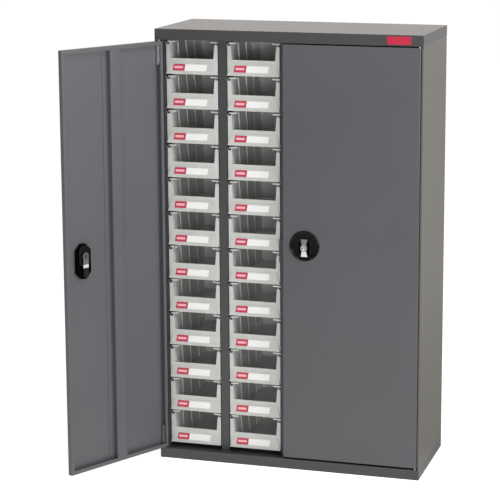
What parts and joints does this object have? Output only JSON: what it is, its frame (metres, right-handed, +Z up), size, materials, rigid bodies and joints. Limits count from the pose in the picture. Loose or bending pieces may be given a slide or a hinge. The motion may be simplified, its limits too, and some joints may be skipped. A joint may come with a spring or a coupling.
{
  "type": "parts bin cabinet",
  "caption": "Free-standing sheet-steel parts bin cabinet with two hinged locking doors in front of columns of clear plastic slide-out drawers with label pads.",
  "frame": {"origin": "middle of the base's underside, on the floor", "axes": "+Z up, +X to the right seen from the front, +Y to the back; the doors are on the -Y side"},
  "size_m": [0.7071, 0.4879, 0.955],
  "materials": {
    "powder_coat_dark": "satin",
    "powder_coat_side": "satin",
    "zinc_plated_steel": "satin",
    "chrome": "polished",
    "black_plastic": "satin",
    "clear_plastic": "satin",
    "red_plastic": "satin"
  },
  "bodies": {
    "case": {"base_plinth": "powder_coat_dark", "floor_panel": "powder_coat_dark", "top_panel": "powder_coat_dark", "left_side_panel": "powder_coat_side", "right_side_panel": "powder_coat_side", "back_panel": "powder_coat_dark", "left_side_post": "powder_coat_dark", "right_side_post": "powder_coat_dark", "left_partition": "powder_coat_dark", "right_partition": "powder_coat_dark", "centre_post": "powder_coat_dark", "keeper": "powder_coat_dark", "runners_column_1": "zinc_plated_steel", "runners_column_2": "zinc_plated_steel", "runners_column_3": "zinc_plated_steel", "runners_column_4": "zinc_plated_steel", "badge": "red_plastic", "drawers_column_3": "clear_plastic", "drawers_column_4": "clear_plastic"},
    "left_door_leaf": {"left_door": "powder_coat_dark", "left_stiffener": "powder_coat_dark", "left_hinge_brackets": "zinc_plated_steel", "left_handle_cup": "black_plastic", "left_lock_housing": "black_plastic", "left_lock_screws": "zinc_plated_steel"},
    "left_handle_set": {"left_handle": "chrome", "left_cam": "zinc_plated_steel"},
    "right_door_leaf": {"right_door": "powder_coat_dark", "right_stiffener": "powder_coat_dark", "right_hinge_brackets": "zinc_plated_steel", "right_handle_cup": "black_plastic", "right_lock_housing": "black_plastic", "right_lock_screws": "zinc_plated_steel"},
    "right_handle_set": {"right_handle": "chrome", "right_cam": "zinc_plated_steel"},
    "drawer_1_01_body": {"drawer_1_01": "clear_plastic"},
    "drawer_1_02_body": {"drawer_1_02": "clear_plastic"},
    "drawer_1_03_body": {"drawer_1_03": "clear_plastic"},
    "drawer_1_04_body": {"drawer_1_04": "clear_plastic"},
    "drawer_1_05_body": {"drawer_1_05": "clear_plastic"},
    "drawer_1_06_body": {"drawer_1_06": "clear_plastic"},
    "drawer_1_07_body": {"drawer_1_07": "clear_plastic"},
    "drawer_1_08_body": {"drawer_1_08": "clear_plastic"},
    "drawer_1_09_body": {"drawer_1_09": "clear_plastic"},
    "drawer_1_10_body": {"drawer_1_10": "clear_plastic"},
    "drawer_1_11_body": {"drawer_1_11": "clear_plastic"},
    "drawer_1_12_body": {"drawer_1_12": "clear_plastic"},
    "drawer_2_01_body": {"drawer_2_01": "clear_plastic"},
    "drawer_2_02_body": {"drawer_2_02": "clear_plastic"},
    "drawer_2_03_body": {"drawer_2_03": "clear_plastic"},
    "drawer_2_04_body": {"drawer_2_04": "clear_plastic"},
    "drawer_2_05_body": {"drawer_2_05": "clear_plastic"},
    "drawer_2_06_body": {"drawer_2_06": "clear_plastic"},
    "drawer_2_07_body": {"drawer_2_07": "clear_plastic"},
    "drawer_2_08_body": {"drawer_2_08": "clear_plastic"},
    "drawer_2_09_body": {"drawer_2_09": "clear_plastic"},
    "drawer_2_10_body": {"drawer_2_10": "clear_plastic"},
    "drawer_2_11_body": {"drawer_2_11": "clear_plastic"},
    "drawer_2_12_body": {"drawer_2_12": "clear_plastic"}
  },
  "joints": [
    {"name": "left_door_hinge", "type": "hinge", "parent": "case", "child": "left_door_leaf", "pos_m": [-0.28423, -0.12021, 0.5], "axis": [0, 0, -1], "range_deg": [-118, 2]},
    {"name": "right_door_hinge", "type": "hinge", "parent": "case", "child": "right_door_leaf", "pos_m": [0.28423, -0.12021, 0.5], "axis": [0, 0, 1], "range_deg": [0, 120]},
    {"name": "left_handle_turn", "type": "hinge", "parent": "left_door_leaf", "child": "left_handle_set", "pos_m": [-0.39198, -0.31692, 0.496], "axis": [-0.8829, 0.4695, 0], "range_deg": [0, 90]},
    {"name": "right_handle_turn", "type": "hinge", "parent": "right_door_leaf", "child": "right_handle_set", "pos_m": [0.03955, -0.123, 0.496], "axis": [0, 1, 0], "range_deg": [0, 90]},
    {"name": "drawer_1_01_slide", "type": "slide", "parent": "case", "child": "drawer_1_01_body", "axis": [0, -1, 0], "range_m": [0, 0.15]},
    {"name": "drawer_1_02_slide", "type": "slide", "parent": "case", "child": "drawer_1_02_body", "axis": [0, -1, 0], "range_m": [0, 0.15]},
    {"name": "drawer_1_03_slide", "type": "slide", "parent": "case", "child": "drawer_1_03_body", "axis": [0, -1, 0], "range_m": [0, 0.15]},
    {"name": "drawer_1_04_slide", "type": "slide", "parent": "case", "child": "drawer_1_04_body", "axis": [0, -1, 0], "range_m": [0, 0.15]},
    {"name": "drawer_1_05_slide", "type": "slide", "parent": "case", "child": "drawer_1_05_body", "axis": [0, -1, 0], "range_m": [0, 0.15]},
    {"name": "drawer_1_06_slide", "type": "slide", "parent": "case", "child": "drawer_1_06_body", "axis": [0, -1, 0], "range_m": [0, 0.15]},
    {"name": "drawer_1_07_slide", "type": "slide", "parent": "case", "child": "drawer_1_07_body", "axis": [0, -1, 0], "range_m": [0, 0.15]},
    {"name": "drawer_1_08_slide", "type": "slide", "parent": "case", "child": "drawer_1_08_body", "axis": [0, -1, 0], "range_m": [0, 0.15]},
    {"name": "drawer_1_09_slide", "type": "slide", "parent": "case", "child": "drawer_1_09_body", "axis": [0, -1, 0], "range_m": [0, 0.15]},
    {"name": "drawer_1_10_slide", "type": "slide", "parent": "case", "child": "drawer_1_10_body", "axis": [0, -1, 0], "range_m": [0, 0.15]},
    {"name": "drawer_1_11_slide", "type": "slide", "parent": "case", "child": "drawer_1_11_body", "axis": [0, -1, 0], "range_m": [0, 0.15]},
    {"name": "drawer_1_12_slide", "type": "slide", "parent": "case", "child": "drawer_1_12_body", "axis": [0, -1, 0], "range_m": [0, 0.15]},
    {"name": "drawer_2_01_slide", "type": "slide", "parent": "case", "child": "drawer_2_01_body", "axis": [0, -1, 0], "range_m": [0, 0.15]},
    {"name": "drawer_2_02_slide", "type": "slide", "parent": "case", "child": "drawer_2_02_body", "axis": [0, -1, 0], "range_m": [0, 0.15]},
    {"name": "drawer_2_03_slide", "type": "slide", "parent": "case", "child": "drawer_2_03_body", "axis": [0, -1, 0], "range_m": [0, 0.15]},
    {"name": "drawer_2_04_slide", "type": "slide", "parent": "case", "child": "drawer_2_04_body", "axis": [0, -1, 0], "range_m": [0, 0.15]},
    {"name": "drawer_2_05_slide", "type": "slide", "parent": "case", "child": "drawer_2_05_body", "axis": [0, -1, 0], "range_m": [0, 0.15]},
    {"name": "drawer_2_06_slide", "type": "slide", "parent": "case", "child": "drawer_2_06_body", "axis": [0, -1, 0], "range_m": [0, 0.15]},
    {"name": "drawer_2_07_slide", "type": "slide", "parent": "case", "child": "drawer_2_07_body", "axis": [0, -1, 0], "range_m": [0, 0.15]},
    {"name": "drawer_2_08_slide", "type": "slide", "parent": "case", "child": "drawer_2_08_body", "axis": [0, -1, 0], "range_m": [0, 0.15]},
    {"name": "drawer_2_09_slide", "type": "slide", "parent": "case", "child": "drawer_2_09_body", "axis": [0, -1, 0], "range_m": [0, 0.15]},
    {"name": "drawer_2_10_slide", "type": "slide", "parent": "case", "child": "drawer_2_10_body", "axis": [0, -1, 0], "range_m": [0, 0.15]},
    {"name": "drawer_2_11_slide", "type": "slide", "parent": "case", "child": "drawer_2_11_body", "axis": [0, -1, 0], "range_m": [0, 0.15]},
    {"name": "drawer_2_12_slide", "type": "slide", "parent": "case", "child": "drawer_2_12_body", "axis": [0, -1, 0], "range_m": [0, 0.15]}
  ]
}
